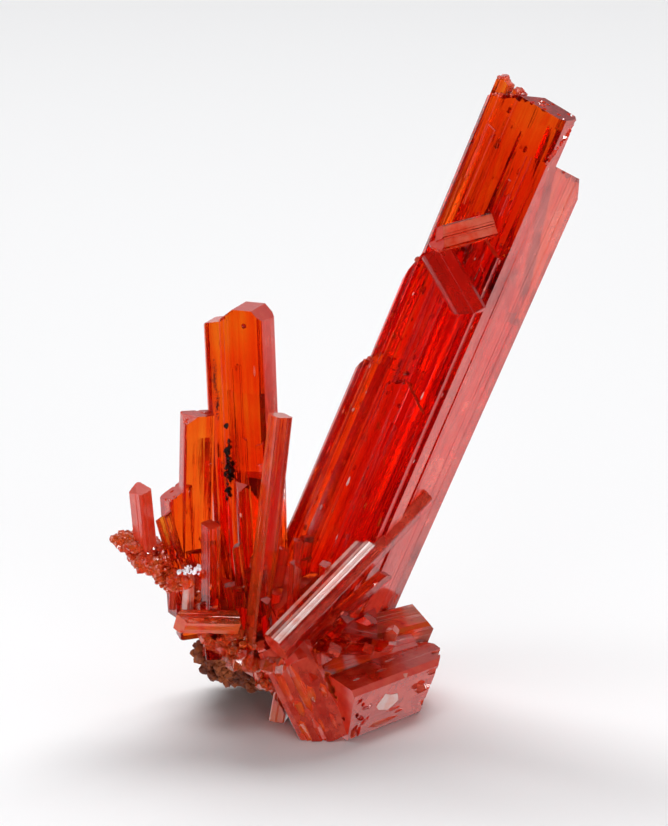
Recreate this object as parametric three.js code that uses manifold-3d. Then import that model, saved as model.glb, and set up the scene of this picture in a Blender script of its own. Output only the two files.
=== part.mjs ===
// A hand specimen of crocoite: long striated prisms of lead chromate, intergrown from one root,
// on a scrap of brown gossan. Millimetres, +Z up. The origin lies on the resting plane, under the
// middle of the specimen; +X points right and +Y to the back.

import * as THREE from "three";
import { mergeVertices } from "three/addons/utils/BufferGeometryUtils.js";
import Module from "manifold-3d";

const wasm = await Module();
wasm.setup();

// Driving dimensions.
const RESTING_HEIGHT = 0; // the plane on which the lowest corners are broken off flat
const SPECIMEN_MIDDLE = [0.08, 2.02]; // middle of the whole in plan, which the origin is moved to
const CUTTER_SIZE = 60; // side of the block that cuts a termination face, larger than any crystal
const MATRIX_CLEARANCE = 0.3; // gap between the gossan and the crystals that grew on it
const PRISM_SKEW = 0.07; // how far the prism's section leans from a square to a rhomb
const CORNER_BEVEL = 0.12; // share of the narrower side that each long edge loses
const RIDGE_HEIGHT = 0.035; // share of the narrower side that a striation step stands proud
const SMALL_RIDGE_HEIGHT = 0.05; // the same for small crystals
const SMALL_CRYSTAL = 2; // a crystal narrower than this is small
const RIDGE_WANDER = 0.5; // share of a band's width by which the edge between two bands wanders
const SAME_POINT = 1e-4; // two points nearer than this are one
const LUMP_DETAIL = 1; // subdivisions of the ball that a large lump starts from
const GRAIN_DETAIL = 0; // the same for a grain
const LUMP_ROUGHNESS = 0.2; // how far a lump's corners are pushed in and out, as a share of its reach
const GRAIN_ROUGHNESS = 0.35;
const GRAIN_DEPTH = 0.9; // share of a lump's reach at which the grains on its skin have their middles

// ---------------------------------------------------------------- helpers

const vector = (point) => new THREE.Vector3(...point);
const radians = THREE.MathUtils.degToRad;

// Repeatable random numbers from 0 to 1, by the Park-Miller rule.
const PARK_MILLER_FACTOR = 16807;
const PARK_MILLER_PRIME = 2147483647;
function randomFrom(seed) {
  let state = seed;
  return () => {
    state = (state * PARK_MILLER_FACTOR) % PARK_MILLER_PRIME;
    return state / PARK_MILLER_PRIME;
  };
}

// A number between two limits.
const between = ([low, high], random) => low + (high - low) * random();

// A direction with the given bearing and height, of length one.
function direction(bearing, height) {
  const level = Math.sqrt(1 - height * height);
  return [Math.cos(bearing) * level, Math.sin(bearing) * level, height];
}

// A closed geometry, placed by a matrix, as a solid that can be joined and cut.
function solidOf(geometry, matrix) {
  const bare = new THREE.BufferGeometry();
  const plain = geometry.index ? geometry.toNonIndexed() : geometry;
  bare.setAttribute("position", plain.getAttribute("position").clone());
  const merged = mergeVertices(bare.applyMatrix4(matrix), SAME_POINT);
  return new wasm.Manifold(
    new wasm.Mesh({
      numProp: 3,
      vertProperties: merged.attributes.position.array,
      triVerts: new Uint32Array(merged.index.array),
    }),
  );
}

const joined = (solids) => solids.reduce((whole, next) => whole.add(next));

// A solid back as a mesh with flat faces.
function meshOf(solid, name, material) {
  const { vertProperties, triVerts } = solid.getMesh();
  const geometry = new THREE.BufferGeometry();
  geometry.setAttribute("position", new THREE.BufferAttribute(vertProperties, 3));
  geometry.setIndex(new THREE.BufferAttribute(triVerts, 1));
  const mesh = new THREE.Mesh(geometry.toNonIndexed(), material);
  mesh.geometry.computeVertexNormals();
  mesh.name = name;
  return mesh;
}

// ---------------------------------------------------------------- one crystal

// The cross-section: a rhomb near a square, its long edges bevelled, and each side cut into
// bands that stand a little in or out, which become the striations along the prism.
function section(width, depth, bevelShare, ridges, ridgeHeight, random) {
  const narrow = Math.min(width, depth);
  const bevel = bevelShare * narrow;
  const points = [];
  for (let side = 0; side < 4; side++) {
    const turn = side * (Math.PI / 2);
    const reach = (side % 2 ? depth : width) / 2;
    const half = (side % 2 ? width : depth) / 2 - bevel;
    const ends = [-1];
    for (let band = 1; band < ridges; band++) {
      ends.push(-1 + (2 * (band + RIDGE_WANDER * (random() - 0.5))) / ridges);
    }
    ends.push(1);
    for (let band = 0; band < ridges; band++) {
      const inset = ridges > 1 ? ridgeHeight * narrow * random() : 0;
      for (const end of [ends[band], ends[band + 1]]) {
        const out = reach - inset;
        const along = end * half;
        const x = out * Math.cos(turn) - along * Math.sin(turn);
        const y = out * Math.sin(turn) + along * Math.cos(turn);
        const corner = new THREE.Vector2(x + PRISM_SKEW * y, y);
        if (!points.some((other) => other.distanceTo(corner) < SAME_POINT)) {
          points.push(corner);
        }
      }
    }
  }
  return new THREE.Shape(points);
}

// The frame of a crystal: its own z along the axis from foot to tip, x across it in the X-Z
// plane, y to the back. A positive roll turns the front face towards the right.
function crystalFrame(foot, tip, roll) {
  const axis = vector(tip).sub(vector(foot)).normalize();
  const across = new THREE.Vector3(0, 1, 0).cross(axis).normalize();
  const back = new THREE.Vector3().crossVectors(axis, across);
  const frame = new THREE.Matrix4().makeBasis(across, back, axis);
  return frame.setPosition(vector(foot)).multiply(new THREE.Matrix4().makeRotationZ(radians(roll)));
}

// One prism from foot to tip. Each facet [lean, toward, drop] cuts the tip with a plane that
// leans from square to the axis, faces the direction toward, and meets the axis drop below it.
// Its taper is its size at the foot, as a share of its size at the tip.
function crystal(spec, grow = 0) {
  const { foot, tip, width, depth, roll = 0, taper = 1, bevel = CORNER_BEVEL } = spec;
  const { ridges = 1, facets = [], seed = 1, shift = [0, 0], start = 0 } = spec;
  const height = spec.height ?? vector(tip).distanceTo(vector(foot));
  const length = height - start + grow;
  const small = Math.min(width, depth) < SMALL_CRYSTAL;
  const ridgeHeight = small ? SMALL_RIDGE_HEIGHT : RIDGE_HEIGHT;
  const shape = section(width + 2 * grow, depth + 2 * grow, bevel, ridges, ridgeHeight, randomFrom(seed));
  const geometry = new THREE.ExtrudeGeometry(shape, { depth: length, bevelEnabled: false });
  const position = geometry.getAttribute("position");
  for (let i = 0; i < position.count; i++) {
    const scale = THREE.MathUtils.lerp(taper, 1, position.getZ(i) / length);
    position.setX(i, position.getX(i) * scale);
    position.setY(i, position.getY(i) * scale);
  }
  const frame = crystalFrame(foot, tip, roll);
  frame.multiply(new THREE.Matrix4().makeTranslation(shift[0], shift[1], start));
  let solid = solidOf(geometry, frame);
  for (const [lean, toward, drop] of facets) {
    const cut = new THREE.Matrix4().makeTranslation(0, 0, length - drop);
    cut.multiply(new THREE.Matrix4().makeRotationZ(radians(toward)));
    cut.multiply(new THREE.Matrix4().makeRotationY(radians(lean)));
    cut.multiply(new THREE.Matrix4().makeTranslation(0, 0, CUTTER_SIZE / 2));
    const block = new THREE.BoxGeometry(CUTTER_SIZE, CUTTER_SIZE, CUTTER_SIZE);
    solid = solid.subtract(solidOf(block, frame.clone().multiply(cut)));
  }
  return solid;
}

// A blade in a bundle of parallel ones, given by its sides in the bundle's own frame.
function blade(axis, [left, right], [front, back], height, rest) {
  const shift = [(left + right) / 2, (front + back) / 2];
  return { ...axis, shift, width: right - left, depth: back - front, height, ...rest };
}

// ---------------------------------------------------------------- the crystals

// The long bundle that leans right: parallel blades grown side by side, which end at steps.
const LEANING_AXIS = { foot: [-1.6, 2.2, 8.4], tip: [14.1, 4.5, 47.5], roll: -36, start: -3.5 };
const leaningBundle = [
  blade(LEANING_AXIS, [-3.38, 3.46], [-0.85, 1.3], 42.9,
    { bevel: 0.2, taper: 0.94, ridges: 5, seed: 11, facets: [[13, -70, 0.6], [30, 0, -1.2]] }),
  blade(LEANING_AXIS, [-2.6, 3.4], [1.2, 6.7], 38.9,
    { taper: 0.84, ridges: 4, seed: 12, facets: [[9, 90, 1.0], [38, 180, -0.6], [40, 40, -1.2]] }),
  blade(LEANING_AXIS, [-1.2, 3.05], [-1.3, 0.2], 32.2,
    { ridges: 2, seed: 13, facets: [[30, -20, 0.3]] }),
  blade(LEANING_AXIS, [-1.6, 2.7], [-1.75, 0.4], 19.4,
    { ridges: 2, seed: 14, facets: [[35, 0, 0.4], [30, 180, 0.2]] }),
  blade(LEANING_AXIS, [-3.82, -0.4], [-1.0, 1.7], 28.6,
    { ridges: 2, seed: 15, facets: [[71, 180, -2.3], [12, 180, 0.1]] }),
  blade(LEANING_AXIS, [-4.56, 0.6], [-1.15, 2.4], 20.4,
    { taper: 1.06, ridges: 2, seed: 16, facets: [[58, 180, -1.6], [14, -120, 0.9]] }),
  blade(LEANING_AXIS, [-3.5, -0.8], [2.0, 5.2], 30.5,
    { bevel: 0, seed: 17, facets: [[44, 120, 0.4], [35, 200, 0.0]] }),
  blade(LEANING_AXIS, [-1.4, 2.5], [5.6, 7.3], 26.0,
    { bevel: 0, seed: 18, facets: [[42, 90, 0.3], [30, 20, -0.6]] }),
  blade(LEANING_AXIS, [-3.2, -2.1], [-0.6, 0.5], 43.0,
    { bevel: 0, seed: 19, facets: [[35, 20, 0.2], [40, 200, 0.0]] }),
  blade(LEANING_AXIS, [-1.9, -0.6], [0.1, 1.2], 42.3,
    { bevel: 0, seed: 20, facets: [[30, -30, 0.2]] }),
];

// Two small crystals that grew out of the bundle's front face.
const riderCrystals = [
  { foot: [11.2, 2.4, 38.45], tip: [6.5, 1.2, 37.5], width: 1.75, depth: 1.6, roll: 30,
    ridges: 3, seed: 21, facets: [[48, 60, 0.5], [46, -70, 0.4]] },
  { foot: [7.0, 2.9, 36.3], tip: [9.7, 0.4, 32.0], width: 2.3, depth: 1.7, roll: -10,
    ridges: 2, seed: 22, facets: [[30, 30, 0.3]] },
];

// The upright crystals on the left, with their tops at different heights.
const TALL_AXIS = { foot: [-6.5, 2.2, 4.4], tip: [-7.3, 3.0, 32.4], roll: -24 };
const uprightCrystals = [
  blade(TALL_AXIS, [-1.82, 1.82], [-1.16, 1.3], 27.6,
    { ridges: 4, seed: 31, facets: [[47, 0, -1.1], [38, 180, -0.45]] }),
  blade(TALL_AXIS, [-3.3, -0.9], [-0.75, 1.1], 26.5,
    { ridges: 2, seed: 32, facets: [[10, 180, 0.1], [45, 180, -0.75]] }),
  blade(TALL_AXIS, [-1.3, 1.2], [0.9, 2.2], 21.5,
    { bevel: 0, seed: 33, facets: [[40, 90, 0.3]] }),
  { foot: [-11.7, 1.0, 5.6], tip: [-11.0, 1.4, 24.05], width: 2.44, depth: 1.95, roll: 24,
    ridges: 3, seed: 34, facets: [[3, 0, 0.1], [40, -135, -0.5]] },
  { foot: [-12.3, 0.9, 7.6], tip: [-12.75, 1.3, 18.2], width: 2.2, depth: 2.1, roll: 35,
    ridges: 2, seed: 35, facets: [[24, 160, 0.5]] },
  { foot: [-14.9, -0.4, 11.2], tip: [-15.34, -1.0, 18.9], width: 1.36, depth: 1.49, roll: 50,
    ridges: 2, seed: 36, facets: [[10, -90, 0.15], [35, 150, -0.1]] },
  { foot: [-11.7, -0.6, 8.4], tip: [-13.66, -1.1, 16.8], width: 1.15, depth: 0.9, roll: -28,
    ridges: 2, seed: 37, facets: [[30, 170, 0.2]] },
  { foot: [-6.8, -2.6, 5.4], tip: [-4.6, -0.9, 24.7], width: 1.5, depth: 2.0, roll: 45,
    ridges: 3, seed: 38, facets: [[4, 0, 0.05]] },
  { foot: [-10.1, -2.2, 7.4], tip: [-9.9, -2.8, 16.6], width: 1.1, depth: 1.36, roll: 45,
    ridges: 2, seed: 39, facets: [[4, -90, 0.0]] },
  { foot: [-7.3, 1.2, 8.5], tip: [-7.5, -0.9, 19.3], width: 1.0, depth: 1.1, roll: 20,
    ridges: 2, seed: 40, facets: [[40, 40, 0.2], [40, 200, 0.0]] },
  { foot: [-5.4, 2.8, 5.4], tip: [-5.6, 5.4, 18.4], width: 2.2, depth: 2.0, roll: 15,
    bevel: 0, seed: 41, facets: [[36, 60, 0.4], [30, -120, 0.1]] },
  { foot: [-8.4, 4.0, 6.0], tip: [-10.6, 6.8, 20.4], width: 2.0, depth: 1.9, roll: 40,
    bevel: 0, seed: 42, facets: [[34, 90, 0.4], [30, -60, 0.1]] },
];

// Crystals that cross the front: the long diagonal pair and the blocky ones at the foot.
const frontCrystals = [
  { foot: [-5.0, -5.3, 7.5], tip: [6.45, 3.95, 16.2], width: 2.1, depth: 1.85, roll: 45, taper: 1.22,
    bevel: 0.3, ridges: 3, seed: 51 },
  { foot: [-2.6, -4.0, 7.4], tip: [3.55, 0.3, 11.2], width: 1.1, depth: 0.9, roll: 35,
    ridges: 2, seed: 52, facets: [[40, 170, 0.1]] },
  { foot: [-0.4, -5.05, 2.2], tip: [8.1, 2.15, 2.1], width: 4.8, depth: 3.4, roll: 10,
    ridges: 3, seed: 53, facets: [[44, -72, 1.55], [44, 180, -1.3], [35, 90, 0.6]] },
  { foot: [-4.7, -2.4, 6.6], tip: [-1.0, -4.9, -0.6], width: 4.0, depth: 2.8, roll: -10,
    ridges: 2, seed: 54 },
  { foot: [-0.4, 0.6, 4.8], tip: [6.5, 4.4, 4.9], width: 2.6, depth: 3.2, roll: 14,
    ridges: 3, seed: 55, facets: [[14, 0, 0.2], [36, 180, -0.5]] },
  { foot: [3.5, 0.3, 4.6], tip: [4.05, -1.2, 7.4], width: 1.0, depth: 0.6, roll: -10,
    seed: 56, facets: [[40, 0, 0.2], [44, 180, 0.2]] },
  { foot: [-4.3, -1.8, 3.6], tip: [-5.0, -2.5, -0.3], width: 1.3, depth: 1.2, roll: 20,
    seed: 57 },
];

// Short crystals that stick out of the left side.
const sideCrystals = [
  { foot: [-8.0, -2.9, 8.5], tip: [-12.95, -4.4, 9.3], width: 1.5, depth: 1.5, roll: 30,
    ridges: 2, seed: 61, facets: [[40, 0, 0.3], [40, 180, 0.3]] },
  { foot: [-12.9, -0.7, 12.0], tip: [-13.1, -1.0, 8.75], width: 0.52, depth: 0.5, roll: 15, seed: 62 },
  { foot: [-11.3, -0.2, 12.0], tip: [-11.5, -0.7, 8.0], width: 1.4, depth: 1.3, roll: 28,
    ridges: 2, seed: 63 },
];

// The root that the crystals share: stout prisms pointing every way, mostly hidden.
const rootCrystals = [
  { foot: [-11.5, 1.4, 7.6], tip: [2.2, 2.2, 4.6], width: 4.8, depth: 6.2, roll: 12, bevel: 0,
    seed: 71 },
  { foot: [-6.0, -2.8, 6.4], tip: [0.8, 5.8, 4.2], width: 4.8, depth: 4.6, roll: 35, bevel: 0, seed: 72 },
  { foot: [-4.4, 0.2, 2.4], tip: [-3.6, 0.6, 13.0], width: 5.0, depth: 4.8, roll: 30, bevel: 0, seed: 73,
    facets: [[40, 30, 1.5], [38, 200, 1.2]] },
  { foot: [0.6, 3.6, 2.6], tip: [4.6, 8.2, 1.2], width: 3.4, depth: 3.2, roll: 20, bevel: 0, seed: 74,
    facets: [[30, 90, 0.4]] },
  { foot: [-3.4, -3.2, 4.0], tip: [5.0, 2.6, 3.8], width: 3.4, depth: 2.6, roll: 38, bevel: 0, seed: 75,
    facets: [[36, 30, 0.4]] },
];

// Small prisms scattered over the root, each pointing roughly outwards from its middle.
const SCATTER = {
  middle: [-3.4, 0.6, 5.4],
  reach: [4.2, 3.5, 2.8],
  count: 26,
  seed: 77,
  heights: [-0.35, 0.75],
  lengths: [1.6, 3.2],
  straying: 0.9,
  widths: [0.7, 1.5],
  flatness: [0.8, 1.1],
  leans: [25, 50],
  drop: 0.2,
};
function smallCrystals() {
  const random = randomFrom(SCATTER.seed);
  const specs = [];
  for (let i = 0; i < SCATTER.count; i++) {
    const bearing = 2 * Math.PI * random();
    const outward = direction(bearing, between(SCATTER.heights, random));
    const foot = SCATTER.middle.map((middle, k) => middle + SCATTER.reach[k] * outward[k]);
    const length = between(SCATTER.lengths, random);
    const stray = () => SCATTER.straying * (random() - 0.5);
    const tip = foot.map((start, k) => start + length * (outward[k] + stray()));
    const width = between(SCATTER.widths, random);
    specs.push({
      foot,
      tip,
      width,
      depth: width * between(SCATTER.flatness, random),
      roll: 90 * random(),
      bevel: 0,
      facets: [[between(SCATTER.leans, random), 360 * random(), SCATTER.drop]],
    });
  }
  return specs;
}

const crystalSpecs = [
  ...leaningBundle,
  ...riderCrystals,
  ...uprightCrystals,
  ...frontCrystals,
  ...sideCrystals,
  ...rootCrystals,
  ...smallCrystals(),
];

// ---------------------------------------------------------------- lumps

// A rough rounded lump: a ball with its corners pushed in and out.
function lump(middle, reach, detail, roughness, seed) {
  const random = randomFrom(seed);
  const ball = new THREE.IcosahedronGeometry(1, detail);
  ball.deleteAttribute("normal");
  ball.deleteAttribute("uv");
  const closed = mergeVertices(ball, SAME_POINT);
  const position = closed.getAttribute("position");
  for (let i = 0; i < position.count; i++) {
    const scale = 1 + roughness * (random() - 0.5);
    position.setXYZ(i, position.getX(i) * scale, position.getY(i) * scale, position.getZ(i) * scale);
  }
  const place = new THREE.Matrix4().makeTranslation(...middle);
  return solidOf(closed, place.multiply(new THREE.Matrix4().makeScale(...reach)));
}

// A body lump with grains of different sizes scattered over its skin, all joined.
const GRAIN_SIZES = [0.6, 1.4];
const SEED_STEP = 31;
function lumpyMass({ middle, reach, grains, grainSize, seed }) {
  const random = randomFrom(seed);
  const lumps = [lump(middle, reach, LUMP_DETAIL, LUMP_ROUGHNESS, seed)];
  for (let i = 0; i < grains; i++) {
    const bearing = 2 * Math.PI * random();
    const outward = direction(bearing, between([-1, 1], random));
    const place = middle.map((centre, k) => centre + GRAIN_DEPTH * reach[k] * outward[k]);
    const size = grainSize * between(GRAIN_SIZES, random);
    lumps.push(lump(place, [size, size, size], GRAIN_DETAIL, GRAIN_ROUGHNESS, seed + SEED_STEP * (i + 1)));
  }
  return joined(lumps);
}

// The granular orange crust that juts out on the left, under the smallest crystals.
const crustMasses = [
  { middle: [-16.3, -0.2, 14.2], reach: [1.4, 1.3, 0.7],
    grains: 8, grainSize: 0.5, seed: 81 },
  { middle: [-14.6, -0.4, 13.0], reach: [1.6, 1.6, 1.0],
    grains: 8, grainSize: 0.55, seed: 82 },
  { middle: [-12.9, -0.6, 11.5], reach: [1.6, 1.6, 1.2],
    grains: 8, grainSize: 0.55, seed: 83 },
  { middle: [-10.9, -0.4, 9.6], reach: [1.8, 2.0, 2.2],
    grains: 4, grainSize: 0.55, seed: 84 },
];

// The gossan: brown, knobbly, under the left and the back.
const matrixMasses = [
  { middle: [-8.7, 1.8, 4.0], reach: [2.9, 3.6, 2.4],
    grains: 17, grainSize: 0.85, seed: 91 },
  { middle: [-5.8, 3.2, 1.9], reach: [3.3, 3.4, 2.2],
    grains: 12, grainSize: 0.85, seed: 92 },
];

// ---------------------------------------------------------------- the specimen

// Everything above the resting plane.
function standing(solid) {
  const size = CUTTER_SIZE * 2;
  const below = new THREE.Matrix4().makeTranslation(0, 0, RESTING_HEIGHT - size / 2);
  return solid.subtract(solidOf(new THREE.BoxGeometry(size, size, size), below));
}

// Only the largest body, so that a chip cut loose by a neighbour is left out.
function largestBody(solid) {
  return solid.decompose().reduce((a, b) => (a.volume() > b.volume() ? a : b));
}

const crystalMaterial = new THREE.MeshStandardMaterial({
  color: 0xc22a08,
  roughness: 0.12,
  metalness: 0,
});
const matrixMaterial = new THREE.MeshStandardMaterial({
  color: 0x6b3d22,
  roughness: 0.85,
  metalness: 0,
});

const crystals = standing(
  joined([
    ...crystalSpecs.map((spec) => crystal(spec)),
    ...crustMasses.map(lumpyMass),
  ]),
);

const keepClear = joined([
  ...crystalSpecs.map((spec) => crystal(spec, MATRIX_CLEARANCE)),
  ...crustMasses.map((mass) => {
    const reach = mass.reach.map((r) => r + MATRIX_CLEARANCE);
    return lumpyMass({ ...mass, reach, grainSize: mass.grainSize + MATRIX_CLEARANCE });
  }),
]);
const matrix = standing(joined(matrixMasses.map(lumpyMass)).subtract(keepClear));

const [middleX, middleY] = SPECIMEN_MIDDLE;
const placed = (solid) => largestBody(solid).translate([-middleX, -middleY, 0]);

const specimen = new THREE.Group();
specimen.add(meshOf(placed(crystals), "crystals", crystalMaterial));
specimen.add(meshOf(placed(matrix), "matrix", matrixMaterial));

export default specimen;
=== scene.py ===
# %% [markdown]
# # A crocoite specimen
# Crocoite is lead chromate: long four-sided prisms, orange-red, clear inside and striped along their
# length. This one is a cluster that grew from one root on a scrap of brown gossan.

# %% The plain solids
import math

import bmesh
import bpy
import numpy as np
from mathutils import Matrix, Vector


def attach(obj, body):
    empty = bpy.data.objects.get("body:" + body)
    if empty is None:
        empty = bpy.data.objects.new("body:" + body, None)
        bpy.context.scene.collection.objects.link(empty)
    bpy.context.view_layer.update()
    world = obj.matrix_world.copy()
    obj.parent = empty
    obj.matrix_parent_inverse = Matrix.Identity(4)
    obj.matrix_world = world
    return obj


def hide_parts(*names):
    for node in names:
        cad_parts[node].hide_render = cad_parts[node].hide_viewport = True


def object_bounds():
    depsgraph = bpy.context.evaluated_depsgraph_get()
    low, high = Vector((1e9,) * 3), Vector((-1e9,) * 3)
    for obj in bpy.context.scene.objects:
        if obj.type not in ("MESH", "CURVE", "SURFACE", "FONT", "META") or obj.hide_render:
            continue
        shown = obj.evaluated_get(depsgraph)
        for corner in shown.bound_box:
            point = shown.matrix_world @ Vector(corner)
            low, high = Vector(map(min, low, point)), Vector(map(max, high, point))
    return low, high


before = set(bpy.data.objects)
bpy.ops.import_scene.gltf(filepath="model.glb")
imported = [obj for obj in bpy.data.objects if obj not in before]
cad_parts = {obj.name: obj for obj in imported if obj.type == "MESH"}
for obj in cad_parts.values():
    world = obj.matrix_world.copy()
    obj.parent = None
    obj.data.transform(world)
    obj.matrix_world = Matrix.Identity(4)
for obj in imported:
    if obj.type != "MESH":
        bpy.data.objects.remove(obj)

bpy.context.view_layer.update()
solid_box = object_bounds()
print("plain solids:", [tuple(round(c * 1000, 1) for c in corner) for corner in solid_box], "mm")

# %% [markdown]
# ## Arrays into meshes
# Blender wants a list of points and a list of faces. Both are worked out as whole arrays, which is quick
# and short. The crystals are drawn in millimetres and brought to metres at the end, because the joining
# tool likes sizes near one.

# %% Sizes and the mesh maker
MM = 0.001
MIDDLE = np.array([0.08, 2.02, 0.0])  # mm, the point of the drawing that becomes the frame's origin


def mesh_object(name, points, faces):
    """An object from an array of points (n, 3) and any lists of corner numbers."""
    mesh = bpy.data.meshes.new(name)
    mesh.from_pydata(np.asarray(points, float).tolist(), [], faces)
    mesh.update()
    made = bpy.data.objects.new(name, mesh)
    bpy.context.scene.collection.objects.link(made)
    return made


def tube_faces(rows, columns):
    """Four-cornered faces of a closed tube of rows by columns points, and the two caps that close it."""
    row, column = np.meshgrid(np.arange(rows - 1), np.arange(columns), indexing="ij")
    after = (column + 1) % columns
    low, high = row * columns, (row + 1) * columns
    walls = np.stack([low + column, low + after, high + after, high + column], -1).reshape(-1, 4)
    bottom = np.arange(columns)[::-1]
    top = (rows - 1) * columns + np.arange(columns)
    return walls.tolist() + [bottom.tolist(), top.tolist()]


# %% [markdown]
# ## One striped prism
# A real prism isn't smooth: each side is many narrow strips, a few hundredths of a millimetre in or out
# and a degree or two askew, so every strip catches another part of the room. A bump map could fake that
# for a shine, but light that passes through the crystal needs real steps. So the outline of the prism
# holds the strips, and is carried along the axis through rows at which the strips swell and fade.


# %% The striped outline
STRIP_SPREAD = 0.9  # shape of the skewed spread of strip widths
NARROWEST = 0.2  # added to every width, so that no strip vanishes
STRIP_GAP = 0.06  # share of a strip that slopes to the next one
STRIP_TILT = 0.28  # how much a strip is askew, as a share of the groove
MOSTLY_SHALLOW = 1.6  # power that makes deep strips rare
DEEPEST = 1.6  # limit of an inset, as a share of the groove
WAVE_RATES = (0.02, 0.12)  # waves to a millimetre along the axis


def side_strips(half, coarse, rng):
    """Ends of the strips of one side: widths drawn from a skewed spread, scaled to fill -half to half."""
    count = max(2, int(round(2 * half / coarse)))
    widths = rng.gamma(STRIP_SPREAD, 1.0, count) + NARROWEST
    ends = np.concatenate([[0], np.cumsum(widths)]) / widths.sum() * 2 - 1
    start, stop = ends[:-1], ends[1:]
    gap = STRIP_GAP * (stop - start)
    along = np.stack([start + gap, stop - gap], 1)
    along[0, 0], along[-1, 1] = -1, 1
    return along * half


def striped_outline(size, bevel, heights, coarse, groove, rng):
    """Rows of outline points (rows, n, 2) for a prism of the given width and depth. A point on side s
    lies at reach - inset out from the axis and along the side, turned by s quarter turns. inset = groove
    * (depth of the strip * its swell along the axis + its tilt)."""
    width, depth = size
    ring = []
    for side in range(4):
        reach = (depth if side % 2 else width) / 2
        half = (width if side % 2 else depth) / 2 - bevel
        along = side_strips(half, coarse, rng)
        count = len(along)
        sunk = rng.random(count) ** MOSTLY_SHALLOW
        tilt = rng.normal(0, STRIP_TILT, (count, 2))
        waves = rng.uniform(*WAVE_RATES, count)[None, :] * heights[:, None] + rng.random(count)[None, :]
        swell = 0.75 + 0.25 * np.sin(2 * math.pi * waves)
        inset = groove * np.clip(sunk[None, :, None] * swell[:, :, None] + tilt[None], 0, DEEPEST)
        out = reach - inset
        angle = side * math.pi / 2
        x = out * math.cos(angle) - along[None] * math.sin(angle)
        y = out * math.sin(angle) + along[None] * math.cos(angle)
        ring.append(np.stack([x, y], -1).reshape(len(heights), -1, 2))
    return np.concatenate(ring, 1)


# %% [markdown]
# ## Placing and ending a prism
# A crystal is given by its foot, its tip and a roll about its own axis. It ends where growth faces cut
# across it, so each tip is cut by a few slanting planes. A boolean with big blocks would do the same, but
# a plane cut is exact and quick.


# %% Placing and ending a prism
def crystal_frame(foot, tip, roll):
    """The crystal's own frame: z from foot to tip, x in the X-Z plane, y to the back, turned by roll."""
    foot, tip = Vector(foot), Vector(tip)
    axis = (tip - foot).normalized()
    across = Vector((0, 1, 0)).cross(axis).normalized()
    back = axis.cross(across)
    upright = Matrix((across, back, axis)).transposed().to_4x4()
    return Matrix.Translation(foot) @ (upright @ Matrix.Rotation(math.radians(roll), 4, "Z"))


def cut_tip(mesh, facets, length):
    """Keeps what lies under each growth face (lean, toward, drop), drop below the tip on the axis."""
    work = bmesh.new()
    work.from_mesh(mesh)
    for lean, toward, drop in facets:
        lean, toward = math.radians(lean), math.radians(toward)
        normal = (math.sin(lean) * math.cos(toward), math.sin(lean) * math.sin(toward), math.cos(lean))
        everything = work.verts[:] + work.edges[:] + work.faces[:]
        middle = (0, 0, length - drop)
        bmesh.ops.bisect_plane(
            work, geom=everything, dist=1e-5, plane_co=middle, plane_no=normal, clear_outer=True
        )
        rim = [edge for edge in work.edges if edge.is_boundary]
        if rim:
            bmesh.ops.holes_fill(work, edges=rim, sides=0)
    work.to_mesh(mesh)
    work.free()


# %% [markdown]
# ## Two maps on every crystal
# A pattern has to run along each crystal, and some faces are cloudier than others. So each crystal gets
# two maps of its own before it is joined: one measures its faces in millimetres, and the other says how
# cloudy and how pale they are. The joining keeps both.


# %% Two maps on every crystal
ORANGE = -0.36  # the paleness number that stands for orange instead
TIP_CLOUD = 0.85  # how cloudy the slanting faces of a tip are; 0 is clear
SIDE_CLOUD = 0.22  # how much cloudier the left and right sides are than the front and back
WALL = 0.9  # a face whose normal lies this level is a side, and any other is part of a tip
FACING = 0.965  # how nearly a side must face a frosted bearing
MAP_STEP = (17.0, 7.3)  # mm from one crystal's part of the grain map to the next one's
SIDE_STEP = 4.1  # mm from one side's part to the next one's


def column(items, name, wide=1, kind=float):
    """One value of every item of a mesh, or wide of them in a row, as an array."""
    values = np.empty(len(items) * wide, kind)
    items.foreach_get(name, values)
    return values.reshape(-1, wide) if wide > 1 else values


def grain_map(mesh, number, cloud, pale=0.4, frost=(), tip_cloud=TIP_CLOUD):
    """Two UV maps. In 'grain', in millimetres, v runs along the crystal and u across each face, and each
    crystal has its own part of the map. In 'habit' u is how cloudy the face is and v how pale that
    cloudiness looks. A frosted side is (its bearing in degrees in the crystal's own frame, cloud,
    pale)."""
    at = column(mesh.vertices, "co", 3)[column(mesh.loops, "vertex_index", kind=np.int32)]
    totals = column(mesh.polygons, "loop_total", kind=np.int32)
    normal = np.repeat(column(mesh.polygons, "normal", 3), totals, axis=0)
    level = np.hypot(normal[:, 0], normal[:, 1])
    wall = level > WALL
    across = (at[:, 1] * normal[:, 0] - at[:, 0] * normal[:, 1]) / np.maximum(level, 0.1)
    u = np.where(wall, across, at[:, 0])
    v = np.where(wall, at[:, 2], at[:, 2] + at[:, 1])
    turn = np.round(np.degrees(np.arctan2(normal[:, 1], normal[:, 0])) / 90) % 4
    grain = mesh.uv_layers.new(name="grain")
    spots = np.stack([u + MAP_STEP[0] * number + SIDE_STEP * turn, v + MAP_STEP[1] * number], 1)
    grain.data.foreach_set("uv", spots.astype(np.float32).ravel())
    habit = mesh.uv_layers.new(name="habit")
    haze = np.where(wall, cloud + SIDE_CLOUD * (np.abs(normal[:, 0]) > 0.7), max(cloud, tip_cloud))
    tint = np.full(len(at), float(pale))
    for bearing, cloud_there, pale_there in frost:
        bearing = math.radians(bearing)
        toward = normal[:, 0] * math.cos(bearing) + normal[:, 1] * math.sin(bearing)
        facing = wall & (toward > FACING)
        haze[facing], tint[facing] = cloud_there, pale_there
    habit.data.foreach_set("uv", np.stack([haze, tint], 1).astype(np.float32).ravel())


# %% [markdown]
# ## A whole crystal
# Outline, tip, maps and place come together here. Most sizes have a usual value, so a crystal only states
# what sets it apart.


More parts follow.
